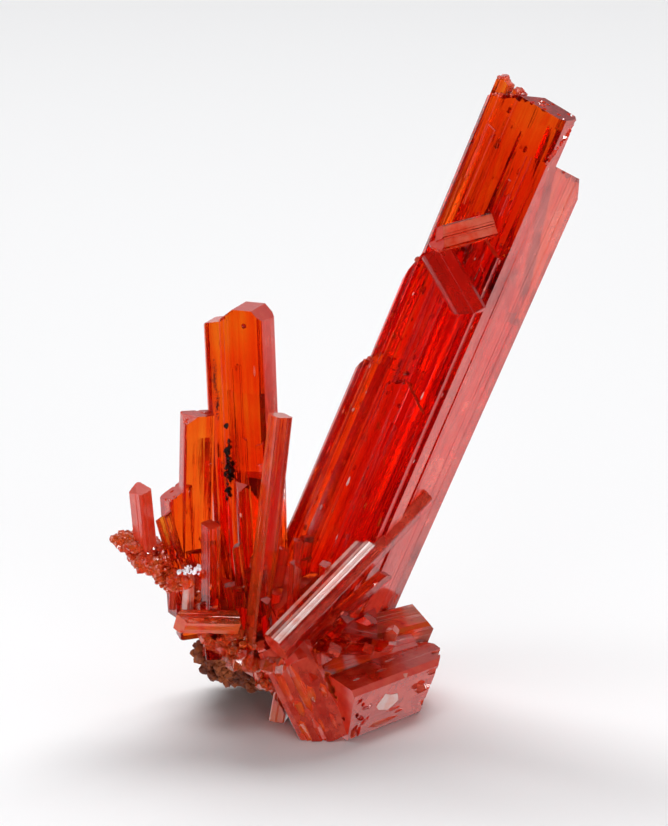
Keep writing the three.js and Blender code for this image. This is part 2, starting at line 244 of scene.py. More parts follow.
# %% A whole crystal
PRISM_SKEW = 0.07  # how far the outline leans from a right angle
CORNER_BEVEL = 0.12  # share of the width that is cut off at each corner
SHARP = 0.05  # the same share on a sharp-edged crystal
ROW_STEP = 2.5  # mm between rows along the axis
DEEPEST_GROOVE = 0.05  # limit of a groove, as a share of the narrower side
STRIPS_ACROSS = 3.5  # fewest strips on the narrower side
grown = []  # each prism's place, half width and depth, length and facets, for the knocks made later


def drawn_out(rows, heights):
    """A closed prism from rows of outline points (rows, n, 2), each row at its height."""
    tall = np.broadcast_to(heights[:, None, None], rows.shape[:2] + (1,))
    points = np.concatenate([rows, tall], -1)
    return mesh_object("crystal", points.reshape(-1, 3), tube_faces(*rows.shape[:2]))


def planted(made, place, half, length, facets=()):
    """Puts a prism in its place and notes it for the knocks."""
    made.data.transform(place)
    grown.append({"place": place, "half": half, "length": length, "facets": facets})
    return made


def crystal(
    foot, tip, width, depth, roll=0, taper=1, bevel=CORNER_BEVEL, facets=(), seed=1, shift=(0, 0),
    start=0, height=None, coarse=0.34, groove=0.05, cloud=0.1, **finish
):
    """A prism from foot to tip, or from start to height along that axis and to one side of it by shift.
    Taper is its size at the foot as a share of its size at the tip, and coarse the usual width of a
    strip."""
    height = (Vector(tip) - Vector(foot)).length if height is None else height
    length = height - start
    rng = np.random.default_rng(seed + 1000)
    heights = np.linspace(0, length, max(2, int(length / ROW_STEP) + 1))
    narrow = min(width, depth)
    groove, coarse = min(groove, DEEPEST_GROOVE * narrow), min(coarse, narrow / STRIPS_ACROSS)
    rows = striped_outline((width, depth), bevel * narrow, heights, coarse, groove, rng)
    rows[..., 0] += PRISM_SKEW * rows[..., 1]
    rows *= (taper + (1 - taper) * heights / length)[:, None, None]
    made = drawn_out(rows, heights)
    cut_tip(made.data, facets, length)
    grain_map(made.data, len(grown), cloud, **finish)
    place = crystal_frame(foot, tip, roll) @ Matrix.Translation((*shift, start))
    return planted(made, place, (width / 2, depth / 2), length, facets)


def blade(axis, sides, faces, height, **rest):
    """One of a bundle's parallel blades, given by where its sides and faces lie in the bundle's frame."""
    (left, right), (front, back) = sides, faces
    place = {
        "shift": ((left + right) / 2, (front + back) / 2), "width": right - left, "depth": back - front
    }
    return crystal(**{**axis, **place, "height": height, **rest})


# %% [markdown]
# ## The long bundle
# The tallest part is one bundle of parallel blades that leans to the right and ends in steps. The blades
# share one frame, so each is given by where its left and right sides and its front and back lie, and how
# far up it reaches.

# %% The long bundle that leans right
LEANING = {"foot": (-1.6, 2.2, 8.4), "tip": (14.1, 4.5, 47.5), "roll": -36, "start": -3.5}
bundle = [
    blade(
        LEANING, (-3.38, 3.46), (-0.85, 1.3), 42.9, bevel=0.2, taper=0.94, coarse=0.55, groove=0.035,
        cloud=0.0, seed=11, facets=[(13, -70, 0.6), (30, 0, -1.2), (22, 180, 0.45)],
        frost=[(0, 0.58, 0.5)], tip_cloud=0.6, pale=0.15,
    ),
    blade(
        LEANING, (1.9, 3.4), (1.2, 6.7), 38.9, taper=0.84, groove=0.022, seed=12,
        facets=[(9, 90, 1.0), (25, 180, -0.3), (40, 40, -1.2)], frost=[(0, 0.58, 0.5)],
    ),
    blade(
        LEANING, (0.1, 2.2), (1.2, 6.3), 41.8, taper=0.84, groove=0.022, seed=23, facets=[(70, 104, 7.8)],
        tip_cloud=0.2,
    ),
    blade(
        LEANING, (-2.6, 0.4), (1.2, 6.0), 41.2, taper=0.84, groove=0.022, seed=24, facets=[(72, 84, 8.2)],
        tip_cloud=0.2,
    ),
    blade(LEANING, (-1.2, 3.05), (-1.3, 0.2), 32.2, cloud=0.0, seed=13, facets=[(30, -20, 0.3)]),
    blade(
        LEANING, (-1.6, 2.7), (-1.75, 0.4), 19.4, cloud=0.0, seed=14,
        facets=[(35, 0, 0.4), (30, 180, 0.2)],
    ),
    blade(
        LEANING, (-3.82, -0.4), (-1.0, 1.7), 28.6, cloud=0.0, seed=15,
        facets=[(71, 180, -2.3), (12, 180, 0.1)],
    ),
    blade(
        LEANING, (-4.56, 0.6), (-1.15, 2.4), 20.4, taper=1.06, cloud=0.0, seed=16,
        facets=[(58, 180, -1.6), (14, -120, 0.9)],
    ),
    blade(
        LEANING, (-3.5, -0.8), (2.0, 5.2), 30.5, bevel=SHARP, seed=17,
        facets=[(44, 120, 0.4), (35, 200, 0.0)],
    ),
    blade(
        LEANING, (-1.4, 2.5), (5.6, 7.3), 26.0, bevel=SHARP, seed=18,
        facets=[(42, 90, 0.3), (30, 20, -0.6)],
    ),
    blade(
        LEANING, (-3.2, -2.1), (-0.6, 0.5), 43.0, bevel=SHARP, seed=19,
        facets=[(35, 20, 0.2), (40, 200, 0.0)],
    ),
    blade(LEANING, (-1.9, -0.6), (0.1, 1.2), 42.3, bevel=SHARP, seed=20, facets=[(30, -30, 0.2)]),
]
SPRIG = {
    "foot": (11.2, 2.4, 38.45), "tip": (6.5, 1.2, 37.5), "roll": 30,
    "frost": [(-90, 0.75, 0.64), (180, 0.6, 0.45)], "coarse": 0.3, "groove": 0.04,
}
riders = [
    crystal(
        **SPRIG, width=1.0, depth=1.0, shift=(0.36, -0.3), height=4.6, seed=21,
        facets=[(48, 60, 0.2), (46, -70, 0.2)],
    ),
    crystal(
        **SPRIG, width=0.95, depth=1.15, shift=(-0.42, -0.14), height=4.95, seed=25,
        facets=[(40, 180, 0.1), (46, -70, 0.3)],
    ),
    crystal(
        **SPRIG, width=1.5, depth=0.9, shift=(0.0, 0.38), height=4.7, seed=26,
        facets=[(48, 60, 0.5), (30, 180, 0.1)],
    ),
    # a small crystal under the sprig, finished dark red: painted shade for the darkness refraction gives it
    crystal(
        (7.0, 2.9, 36.3), (9.7, 0.4, 32.0), 2.3, 1.7, roll=-10, cloud=0.75, pale=-0.08, seed=22,
        facets=[(30, 30, 0.3)],
    ),
]
bundle_prisms = grown[: len(bundle)]
print(len(bundle), "blades and", len(riders), "small crystals on them")

# %% [markdown]
# ## The upright crystals
# On the left a row of prisms stands nearly upright, each at its own height, with the smallest at the
# outer end.

# %% The upright crystals
TALL = {"foot": (-6.5, 2.2, 4.4), "tip": (-7.3, 3.0, 32.4), "roll": -24}
uprights = [
    blade(
        TALL, (-1.82, 1.82), (-1.16, 1.3), 27.6, coarse=0.7, groove=0.03, frost=[(0, 0.6, 0.6)], seed=31,
        facets=[(47, 0, -1.1), (38, 180, -0.45)],
    ),
    blade(
        TALL, (-3.3, -0.9), (-0.75, 1.1), 26.5, coarse=0.5, groove=0.035, seed=32,
        facets=[(10, 180, 0.1), (45, 180, -0.75)],
    ),
    blade(TALL, (-1.3, 1.2), (0.9, 2.2), 21.5, bevel=SHARP, seed=33, facets=[(79, 90, 2.2)]),
    crystal(
        (-11.7, 1.0, 5.6), (-11.0, 1.4, 24.05), 2.44, 1.6, roll=24, coarse=0.5, groove=0.03, seed=34,
        frost=[(180, 0.5, 0.5)], facets=[(3, 0, 0.1), (40, -135, -0.5)],
    ),
    crystal((-12.3, 0.9, 7.6), (-12.75, 1.3, 18.2), 2.2, 2.1, roll=35, seed=35, facets=[(24, 160, 0.5)]),
    crystal(
        (-14.97, -0.5, 12.4), (-15.34, -1.0, 18.9), 1.36, 1.49, roll=50, cloud=0.95, pale=0.45, seed=36,
        facets=[(10, -90, 0.15), (35, 150, -0.1)],
    ),
    crystal(
        (-11.7, -0.6, 8.4), (-13.66, -1.1, 16.8), 1.15, 0.9, roll=-28, seed=37, facets=[(30, 170, 0.2)]
    ),
    crystal(
        (-6.8, -2.6, 5.4), (-4.6, -0.9, 24.7), 1.5, 1.5, roll=38, cloud=0.25, pale=ORANGE, coarse=0.5,
        groove=0.02, seed=38, facets=[(4, 0, 0.05)],
    ),
    crystal((-10.1, -2.2, 7.4), (-9.9, -2.8, 16.6), 1.1, 1.36, roll=45, seed=39, facets=[(4, -90, 0.0)]),
    crystal(
        (-7.3, 1.2, 8.5), (-7.5, -0.9, 19.3), 1.0, 1.1, roll=20, seed=40,
        facets=[(40, 40, 0.2), (40, 200, 0.0)],
    ),
    crystal(
        (-5.4, 2.8, 5.4), (-5.6, 5.4, 18.4), 2.2, 2.0, roll=15, bevel=SHARP, seed=41,
        facets=[(62, 60, 0.4), (30, -120, 0.1)],
    ),
    crystal(
        (-8.4, 4.0, 6.0), (-10.6, 6.8, 20.4), 2.0, 1.9, roll=40, bevel=SHARP, seed=42,
        facets=[(60, 90, 0.4), (30, -60, 0.1)],
    ),
]
upright_prisms = grown[-len(uprights) :]
print(len(uprights), "upright crystals")

# %% [markdown]
# ## Across the front
# A long prism crosses the front diagonally, and stout blocks lie at the foot.

# %% The front
DIAGONAL = {"foot": (-5.0, -5.3, 7.5), "tip": (6.45, 3.95, 16.2), "roll": 45}
front = [
    crystal(
        **DIAGONAL, width=2.1, depth=1.85, taper=1.22, bevel=0.3, cloud=0.35, pale=0.5, seed=51,
        groove=0.07, coarse=0.2,
    ),
    crystal(
        (-2.6, -4.0, 7.4), (3.55, 0.3, 11.2), 1.1, 0.9, roll=35, cloud=0.35, seed=52,
        facets=[(40, 170, 0.1)],
    ),
    crystal(
        (-0.4, -5.05, 2.2), (8.1, 2.15, 2.1), 4.8, 3.4, roll=10, cloud=0.55, pale=0.4,
        frost=[(-90, 0.62, 0.42), (180, 0.7, 0.4)], coarse=0.9, groove=0.02, seed=53,
        facets=[(44, -72, 1.55), (44, 180, -1.3), (35, 90, 0.6)],
    ),
    crystal(
        (-4.7, -2.4, 6.6), (-1.0, -4.9, -0.6), 4.0, 2.8, roll=-10, cloud=0.65, pale=0.5,
        frost=[(180, 0.7, 0.6)], coarse=0.9, groove=0.02, seed=54,
    ),
    crystal(
        (-0.4, 0.6, 4.8), (6.5, 4.4, 4.9), 2.6, 3.2, roll=14, cloud=0.5, pale=ORANGE, seed=55,
        facets=[(14, 0, 0.2), (36, 180, -0.5)],
    ),
    crystal(
        (3.5, 0.3, 4.6), (4.05, -1.2, 7.4), 1.0, 0.6, roll=-10, cloud=0.8, pale=0.6, seed=56,
        facets=[(40, 0, 0.2), (44, 180, 0.2)],
    ),
    crystal((-4.3, -1.8, 3.6), (-5.0, -2.5, -0.3), 1.3, 1.2, roll=20, cloud=0.7, pale=ORANGE, seed=57),
]
front_prisms = grown[-len(front) :]
print(len(front), "at the front")

# %% [markdown]
# ## A splint and a pane
# Two pieces aren't four-sided: a pale splint along the diagonal, and a thin pale pane on the front of the
# large block. Their outlines are drawn corner by corner. The outer side of the splint is pale pink, partly
# its own frost and partly a painted highlight for the lamp above that it mirrors.


# %% A splint and a pane
GROOVE_PLACES = (0.0, 0.04, 0.31, 0.35, 0.66, 0.7, 0.96)  # along each side of a many-sided crystal
FINE_GROOVE = 0.012  # mm


def many_sided(foot, tip, roll, corners, length, cloud, seed, **finish):
    """A prism whose outline is any row of corners (x, y), with fine grooves drawn across each side."""
    rng = np.random.default_rng(seed)
    corners = np.array(corners, float)
    following = np.roll(corners, -1, axis=0)
    share = np.array(GROOVE_PLACES)
    outline = corners[:, None] + (following - corners)[:, None] * share[None, :, None]
    inward = -outline / np.linalg.norm(outline, axis=-1, keepdims=True)
    depth = FINE_GROOVE * rng.random((len(corners), len(share)))
    depth[:, 0] = 0
    outline = (outline + inward * depth[..., None]).reshape(-1, 2)
    heights = np.linspace(0, length, 5)
    made = drawn_out(np.broadcast_to(outline, (len(heights),) + outline.shape), heights)
    grain_map(made.data, len(grown), cloud, **finish)
    return planted(made, crystal_frame(foot, tip, roll), (0.5, 0.5), length)


SPLINT_OUTLINE = [(0.2, -0.66), (0.2, 0.9), (-1.22, 0.9), (-1.46, -0.02), (-1.46, -0.66)]
SPLINT_LENGTH = 10.8
# the splint's outer side: pale pink, partly frost and partly painted highlight
splint = many_sided(
    **DIAGONAL, corners=SPLINT_OUTLINE, length=SPLINT_LENGTH, cloud=0.2, pale=0.35,
    frost=[(180, 0.9, 0.95)], seed=58,
)
block = front_prisms[2]["place"]
PANE_OUTLINE = [
    (-1.0, -0.5), (-0.55, -0.78), (0.5, -0.7), (0.85, -0.3), (1.2, 0.2), (0.75, 0.75), (0.1, 0.6),
    (-0.6, 0.66),
]
PANE_BACK, PANE_FRONT = block @ Vector((-0.5, -1.5, 3.6)), block @ Vector((-0.5, -2.0, 3.6))
pane = many_sided(PANE_BACK, PANE_FRONT, 80, PANE_OUTLINE, 0.24, 1.0, 59, pale=1.0, tip_cloud=1.0)
front += [splint, pane]
print("corners:", len(SPLINT_OUTLINE), "and", len(PANE_OUTLINE))

# %% [markdown]
# ## Out to the side, and the root
# One short prism sticks out on the left and two small ones point down. A few thick ones, mostly hidden,
# join everything at the root.

# %% The side and the root
side = [
    crystal(
        (-8.0, -2.9, 8.5), (-12.95, -4.4, 9.3), 1.5, 1.5, roll=72, cloud=0.5, pale=ORANGE, seed=61,
        facets=[(40, 0, 0.3), (40, 180, 0.3)],
    ),
    crystal((-12.9, -0.7, 12.0), (-13.1, -1.0, 8.75), 0.52, 0.5, roll=15, cloud=0.5, seed=62),
    crystal((-11.7, -1.2, 12.0), (-11.9, -1.7, 8.6), 0.75, 0.75, roll=45, cloud=0.9, pale=0.85, seed=63),
]
side_prisms = grown[-len(side) :]
ROOT = [  # foot, tip, width, depth, roll and growth faces
    ((-10.4, 1.6, 7.4), (2.2, 2.2, 4.6), 4.8, 6.2, 12, ()),
    ((-6.0, -2.8, 6.4), (0.8, 5.8, 4.2), 4.8, 4.6, 35, ()),
    ((-4.4, 0.2, 2.4), (-3.6, 0.6, 13.0), 5.0, 4.8, 30, [(40, 30, 1.5), (38, 200, 1.2)]),
    ((0.6, 3.6, 2.6), (4.6, 8.2, 1.2), 3.4, 3.2, 20, [(30, 90, 0.4)]),
    ((-3.4, -3.2, 4.0), (5.0, 2.6, 3.8), 3.4, 2.6, 38, [(36, 30, 0.4)]),
]
root = [
    crystal(*shape, facets=facets, bevel=0.02, cloud=0.55, seed=71 + number)
    for number, (*shape, facets) in enumerate(ROOT)
]
print(len(side), "at the side and", len(root), "in the root")

# %% [markdown]
# ## Small prisms all over the root
# Between the large crystals the root bristles with short prisms that point outwards every way. Their
# places come from a small repeatable number maker, the same one that the plain solids use, so the two
# agree. The thicket of thin ones in front of the uprights is made here alone.


# %% Small prisms
def dice(seed):
    """Repeatable numbers from 0 to 1, by the Park-Miller rule: state = 16807 * state modulo 2**31 - 1."""
    state = seed
    while True:
        state = state * 16807 % 2147483647
        yield state / 2147483647


def small_prisms(middle, reach, count, seed):
    """Short prisms with a foot on an egg and a tip 1.6 to 3.2 mm outwards from it, a little astray."""
    roll = dice(seed)
    made = []
    for number in range(count):
        bearing = 2 * math.pi * next(roll)
        height = -0.35 + 1.1 * next(roll)
        level = math.sqrt(1 - height * height)
        outward = np.array([math.cos(bearing) * level, math.sin(bearing) * level, height])
        foot = np.array(middle) + np.array(reach) * outward
        length = 1.6 + 1.6 * next(roll)
        stray = np.array([0.9 * (next(roll) - 0.5) for _ in range(3)])
        width = 0.7 + 0.8 * next(roll)
        depth = width * (0.8 + 0.3 * next(roll))
        turn, lean, toward = 90 * next(roll), 25 + 25 * next(roll), 360 * next(roll)
        finish = {"cloud": 0.05, "pale": 0.45, "tip_cloud": 0.6, "facets": [(lean, toward, 0.2)]}
        ends = tuple(foot), tuple(foot + length * (outward + stray))
        made.append(crystal(*ends, width, depth, roll=turn, bevel=SHARP, seed=200 + number, **finish))
    return made


def thicket(count, seed):
    """Thin prisms in front of the uprights that fan out: they lean more the further out they stand."""
    rng = np.random.default_rng(seed)
    made = []
    for number in range(count):
        foot = np.array([rng.uniform(-10.4, -1.6), rng.uniform(-2.9, 0.0), rng.uniform(4.6, 7.4)])
        length = rng.uniform(3.0, 8.0)
        lean = np.array([(foot[0] + 6.2) * 0.05, -0.03, 0]) + rng.normal(0, 0.06, 3) * (1, 1, 0)
        tip = foot + length * (lean + (0, 0, 1))
        width = rng.uniform(0.5, 1.25)
        facets = [(rng.uniform(5, 50), rng.uniform(0, 360), 0.1)]
        depth, turn, cloud = width * rng.uniform(0.8, 1.1), rng.uniform(-45, 45), rng.uniform(0, 0.4)
        finish = {"cloud": cloud, "pale": 0.3, "tip_cloud": 0.7, "facets": facets}
        made.append(crystal(tuple(foot), tuple(tip), width, depth, roll=turn, seed=400 + number, **finish))
    return made


scatter = small_prisms((-3.4, 0.6, 5.4), (4.2, 3.5, 2.8), 26, 77) + thicket(30, 78)
print(len(scatter), "small prisms")

# %% [markdown]
# ## Laths on the faces
# The broad faces of the bundle and of the tall upright carry thin laths, parallel to the axis, that end
# at different heights. They give the faces their long steps. Each stands out about a tenth of a
# millimetre at most, and the rest of it lies inside the blade.


# %% Laths
def laths(axis, distance, across, levels, count, seed):
    """Thin slabs on the front face of a bundle, which lies at a distance from its axis."""
    rng = np.random.default_rng(seed)
    made = []
    for _ in range(count):
        middle = rng.uniform(*across)
        half = rng.uniform(0.12, 0.5)
        proud = rng.uniform(0.03, 0.12)
        top = rng.uniform(*levels)
        bottom = max(top - rng.uniform(4, 14), 0)
        span, thick = (middle - half, middle + half), (-distance - proud, -distance + 0.5)
        facets = [(rng.uniform(30, 65), rng.uniform(0, 360), 0.1)]
        seed = int(rng.integers(9999))
        lower = {**axis, "start": bottom}
        made.append(blade(lower, span, thick, top, bevel=0.03, seed=seed, facets=facets, coarse=0.25))
    return made


bundle_laths = (
    laths(LEANING, 0.85, (-2.6, 2.9), (33, 41), 7, 5)
    + laths(LEANING, 1.3, (-0.9, 2.7), (22, 31), 9, 6)
    + laths(LEANING, 1.75, (-1.3, 2.4), (12, 18), 6, 7)
    + laths(LEANING, 1.0, (-3.4, -1.8), (14, 27), 5, 8)
    + laths(TALL, 1.16, (-1.4, 1.4), (14, 26), 6, 10)
)
print(len(bundle_laths), "laths")

# %% [markdown]
# ## The sugary crust
# On the left the crystals stand on a crust of tiny grains, a fraction of a millimetre each, orange and
# half clear. Each grain is a short six-sided stub with its corners pushed in or out, laid over
# overlapping eggs. The crust grew with the crystals, so it is joined with them below.


# %% Grains
def grain_points(rng, count):
    """Corners of grains (count, 14, 3): two rings of six and two tips, each corner pushed in or out."""
    angle = np.arange(6) * math.pi / 3
    ring = np.stack([np.cos(angle), np.sin(angle), np.zeros(6)], -1)
    low, high = ring * 0.9 + (0, 0, -0.45), ring * 0.75 + (0, 0, 0.45)
    shape = np.concatenate([low, high, [(0, 0, -0.95), (0, 0, 1.0)]])
    return shape[None] * rng.uniform(0.8, 1.15, (count, 14, 1))


GRAIN_FACES = (
    [(i, (i + 1) % 6, 6 + (i + 1) % 6, 6 + i) for i in range(6)]
    + [(6 + i, 6 + (i + 1) % 6, 13) for i in range(6)]
    + [((i + 1) % 6, i, 12) for i in range(6)]
)


def turned_every_way(rng, count):
    """Random turns (count, 3, 3), from unit quaternions with normally spread parts."""
    q = rng.normal(size=(count, 4))
    w, x, y, z = (q / np.linalg.norm(q, axis=1, keepdims=True)).T
    rows = [
        [1 - 2 * (y * y + z * z), 2 * (x * y - w * z), 2 * (x * z + w * y)],
        [2 * (x * y + w * z), 1 - 2 * (x * x + z * z), 2 * (y * z - w * x)],
        [2 * (x * z - w * y), 2 * (y * z + w * x), 1 - 2 * (x * x + y * y)],
    ]
    return np.moveaxis(np.array(rows), -1, 0)


def grains_on(eggs, sizes, seed, inner=0.82):
    """Grains under the skins of eggs (middle, reach, how many), no deeper than inner of the reach."""
    rng = np.random.default_rng(seed)
    spots = []
    for middle, reach, count in eggs:
        way = rng.normal(size=(count, 3))
        way /= np.linalg.norm(way, axis=1, keepdims=True)
        spots.append(np.array(middle) + way * np.array(reach) * rng.uniform(inner, 1.0, (count, 1)))
    spots = np.concatenate(spots)
    count = len(spots)
    size = sizes[0] * (sizes[1] / sizes[0]) ** rng.random(count)
    shape = grain_points(rng, count) * size[:, None, None] * rng.uniform(0.7, 1.3, (count, 1, 3))
    return np.einsum("nij,nkj->nki", turned_every_way(rng, count), shape) + spots[:, None]


def loose_grains(name, grains):
    """All the grains (count, 14, 3) as one object, in metres."""
    faces = [tuple(int(c) + 14 * n for c in face) for n in range(len(grains)) for face in GRAIN_FACES]
    return mesh_object(name, (grains.reshape(-1, 3) - MIDDLE) * MM, faces)


def stub(corners, number, cloud, pale, place=Matrix()):
    """One many-sided stub with a finish and a place of its own."""
    made = mesh_object("stub", corners, GRAIN_FACES)
    grain_map(made.data, number, cloud, pale, tip_cloud=cloud)
    made.data.transform(place)
    return made


def separate_grains(grains, cloud, pale):
    """One small object for each grain, ready to be joined."""
    return [stub(corners, 500 + number, cloud, pale) for number, corners in enumerate(grains)]


# %% The crust
CRUST_EGGS = [
    ((-17.1, -0.3, 14.35), (0.55, 0.6, 0.22), 80),
    ((-16.0, -0.2, 14.0), (1.2, 1.2, 0.6), 320),
    ((-14.6, -0.4, 12.9), (1.7, 1.6, 1.15), 460),
    ((-12.9, -0.6, 11.5), (1.6, 1.6, 1.3), 380),
    ((-10.9, -0.2, 9.6), (1.6, 1.6, 2.1), 240),
    ((-9.2, 4.0, 7.4), (2.4, 1.4, 1.1), 150),
    ((-5.4, 5.0, 6.0), (2.6, 1.4, 1.4), 170),
]
ROOT_EGGS = [
    ((-9.2, -2.0, 7.2), (1.7, 1.2, 1.3), 60),
    ((-7.3, -2.7, 5.9), (1.7, 1.1, 1.3), 60),
    ((-5.2, -3.3, 4.6), (1.4, 1.2, 1.5), 50),
]
crust = separate_grains(grains_on(CRUST_EGGS, (0.13, 0.46), 81, 0.55), 0.62, ORANGE)
crust += separate_grains(grains_on(ROOT_EGGS, (0.28, 0.8), 82), 0.5, ORANGE)
print("crust:", len(crust), "grains")

# %% [markdown]
# ## Grains on the ledges
# Where blades of the bundle end in steps, pale grains grew on the ledges. A tip is the lowest of its
# growth faces, so its height over any spot is a formula, and the grains are set on it.


# %% Grains on the ledges
def tip_height(prism, x, y):
    """Height of a tip at (x, y): least length - drop - tan(lean) * (x cos(toward) + y sin(toward))."""
    heights = [prism["length"]]
    for lean, toward, drop in prism["facets"]:
        slope, toward = math.tan(math.radians(lean)), math.radians(toward)
        heights.append(prism["length"] - drop - slope * (x * math.cos(toward) + y * math.sin(toward)))
    return min(heights)


def ledge_grains(prism, count, across, seed):
    """Grains that grew on the tip of a prism; across is the part of its width that they cover."""
    rng = np.random.default_rng(seed)
    x, y = prism["half"][0] * rng.uniform(*across, count), prism["half"][1] * rng.uniform(-1, 0.6, count)
    spots = [prism["place"] @ Vector((a, b, tip_height(prism, a, b))) for a, b in zip(x, y)]
    shape = grain_points(rng, count) * rng.uniform(0.1, 0.26, (count, 1, 1))
    return np.einsum("nij,nkj->nki", turned_every_way(rng, count), shape) + np.array(spots)[:, None]


LEDGES = [  # a blade of the bundle, how many grains, the part of its width, seed, cloud and paleness
    (7, 26, (-1, -0.45), 91, 0.8, 0.7),
    (6, 12, (-1, -0.6), 92, 0.8, 0.7),
    (10, 34, (-1, 1), 93, 0.9, 0.66),
    (11, 22, (-1, 1), 94, 0.9, 0.66),
    (0, 40, (-0.95, -0.3), 95, 0.9, 0.6),
]
for which, count, across, seed, cloud, pale in LEDGES:
    crust += separate_grains(ledge_grains(bundle_prisms[which], count, across, seed), cloud, pale)
print("with the ledges:", len(crust), "grains")

# %% [markdown]
# ## Joining
# Crystals that grow into each other have no wall between them, and light would be bent by any wall left
# inside. So all the prisms are joined into one closed skin. The quick joining solver takes whole closed
# pieces, which these are.


# %% Joining and cutting
def combined(base, others, operation, name):
    """base joined with, or cut by, all the others at once; the parts are used up."""
    group = bpy.data.collections.new(name)
    bpy.context.scene.collection.children.link(group)
    for other in others:
        bpy.context.scene.collection.objects.unlink(other)
        group.objects.link(other)
    modifier = base.modifiers.new("combine", "BOOLEAN")
    modifier.operation = operation
    modifier.solver = "MANIFOLD"
    modifier.operand_type = "COLLECTION"
    modifier.collection = group
    shown = base.evaluated_get(bpy.context.evaluated_depsgraph_get())
    finished = bpy.data.meshes.new_from_object(shown)
    for used in [base, *others]:
        bpy.data.objects.remove(used)
    bpy.data.collections.remove(group)
    made = bpy.data.objects.new(name, finished)
    bpy.context.scene.collection.objects.link(made)
    return made


parts = bundle + riders + uprights + front + side + root + scatter + bundle_laths + crust
crystals = combined(parts[0], parts[1:], "UNION", "crystals_skin")
print("joined crystals:", len(crystals.data.vertices), "points,", len(crystals.data.polygons), "faces")

# %% [markdown]
# ## Knocks and pits
# Crocoite is soft and brittle, so its edges are full of small knocks, and its faces have shallow pits,
# longer along the crystal than across it. Each is a small many-sided lump taken out of the skin. The lump
# brings its own cloudy finish, so a fresh break shows pale against the clear crystal. That paleness is
# partly painted highlight: the palest lumps stand in for glints, most of all the nearly white chips on
# the front of the bundle.


# %% Lumps that cut
def knocks(
    prisms, count, sizes, edge_share, seed, clouds=(0.5, 1.3), levels=(0.08, 0.98), pales=(0.4, 1.0)
):
    """Lumps on the edges of prisms, for the edge share, and on their sides, longer along the axis than
    across it. Levels is the part of the length that they keep to, and clouds and pales are the limits of
    their finish."""
    rng = np.random.default_rng(seed)
    lengths = np.array([prism["length"] for prism in prisms])
    chosen = rng.choice(len(prisms), count, p=lengths / lengths.sum())
    shapes = grain_points(rng, count)
    made = []
    for number, (which, shape) in enumerate(zip(chosen, shapes)):
        place, (half_width, half_depth), length, _ = prisms[which].values()
        size = sizes[0] * (sizes[1] / sizes[0]) ** rng.random()
        x, y = rng.choice((-1, 1), 2) * (half_width, half_depth)
        long = rng.uniform(1.0, 2.6)
        if rng.random() > edge_share:
            along = rng.uniform(-0.9, 0.9)
            x, y = (x, y * along) if rng.random() < 0.5 else (x * along, y)
            long = rng.uniform(1.5, 4.5)
        spot = Vector((x, y, length * rng.uniform(*levels)))
        turn = Matrix.Rotation(rng.uniform(0, 2 * math.pi), 4, "Z")
        cloud, pale = rng.uniform(*clouds), rng.uniform(*pales)
        where = place @ Matrix.Translation(spot) @ turn
        made.append(stub(shape * size * (1, 1, long), 200 + number, cloud, pale, where))
    return made


def bites(prism, spots, cloud, seed, pale=0.5, long=1):
    """Lumps, long times as long as wide, cut out of a prism at spots (x, y, z, size) in its frame."""
    rng = np.random.default_rng(seed)
    turns = turned_every_way(rng, len(spots))
    shapes = np.einsum("nij,nkj->nki", turns, grain_points(rng, len(spots)) * (1, 1, long))
    return [
        stub(shape * size, 300 + number, cloud, pale, prism["place"] @ Matrix.Translation(spot))
        for number, (shape, (*spot, size)) in enumerate(zip(shapes, spots))
    ]


def broken_tip(prism, count, sizes, cloud, seed, across=(-1, 1)):
    """Bites all over the tip of a prism; across is the part of its width that they cover."""
    rng = np.random.default_rng(seed)
    (half_width, half_depth), spots = prism["half"], []
    for _ in range(count):
        x, y = half_width * rng.uniform(*across), half_depth * rng.uniform(-1, 1)
        size = rng.uniform(*sizes)
        spots.append((x, y, tip_height(prism, x, y) + 0.1 * size, size))
    return bites(prism, spots, cloud, seed)


# %% Knocking the crystals
front_blade, right_blade = bundle_prisms[:2]
clear_blades = bundle_prisms[4:8]  # the lower ones at the front of the bundle
pink_block, left_block = front_prisms[2:4]
CLAWS = [(-1.5 + 0.42 * n, -1.7, 0.6 + 0.45 * (n % 3), 0.26) for n in range(8)]
BROKEN_EDGE = [(3.5, -1.0 + 0.2 * n, 41.6 + 0.42 * n, 0.28 + 0.05 * (n % 4)) for n in range(10)]
knocked = (
    knocks(bundle_prisms, 130, (0.04, 0.2), 0.75, 61)
    + knocks(upright_prisms, 90, (0.04, 0.18), 0.75, 62)
    + knocks(front_prisms, 70, (0.06, 0.42), 0.7, 63)
    + knocks([pink_block, left_block], 60, (0.15, 0.5), 0.25, 64, (0.85, 1.0), pales=(0.5, 0.66))
    + knocks([left_block], 70, (0.16, 0.5), 0.35, 98, (0.75, 0.95), (0.3, 1.0), (ORANGE, ORANGE + 0.08))
    + knocks(side_prisms[:1], 26, (0.12, 0.36), 0.8, 99, (0.45, 0.75), (0.3, 1.05), (ORANGE, ORANGE + 0.12))
    + bites(pink_block, CLAWS, 0.8, 90, pale=0.3, long=2.4)
    # nearly white chips on the front blades: real breaks, painted white so they also stand in for glints
    + knocks([front_blade] + clear_blades, 150, (0.04, 0.13), 0.0, 93, (1.0, 1.4), pales=(0.8, 1.3))
    # a pit in the tall upright, given a dark red finish: painted shade in the hollow
    + bites(upright_prisms[0], [(0.35, -1.2, 26.4, 0.24)], 1.2, 97, pale=-0.05)
    + broken_tip(front_blade, 14, (0.2, 0.5), 0.9, 66, across=(-0.72, -0.05))
    + broken_tip(front_blade, 12, (0.15, 0.35), 0.9, 67, across=(0.0, 1.0))
    + bites(front_blade, BROKEN_EDGE, 0.8, 68)
    + broken_tip(right_blade, 24, (0.2, 0.5), 0.6, 69)
)
for number, prism in enumerate(clear_blades + upright_prisms[3:5]):
    knocked += broken_tip(prism, 7, (0.08, 0.24), 0.9, 70 + number)
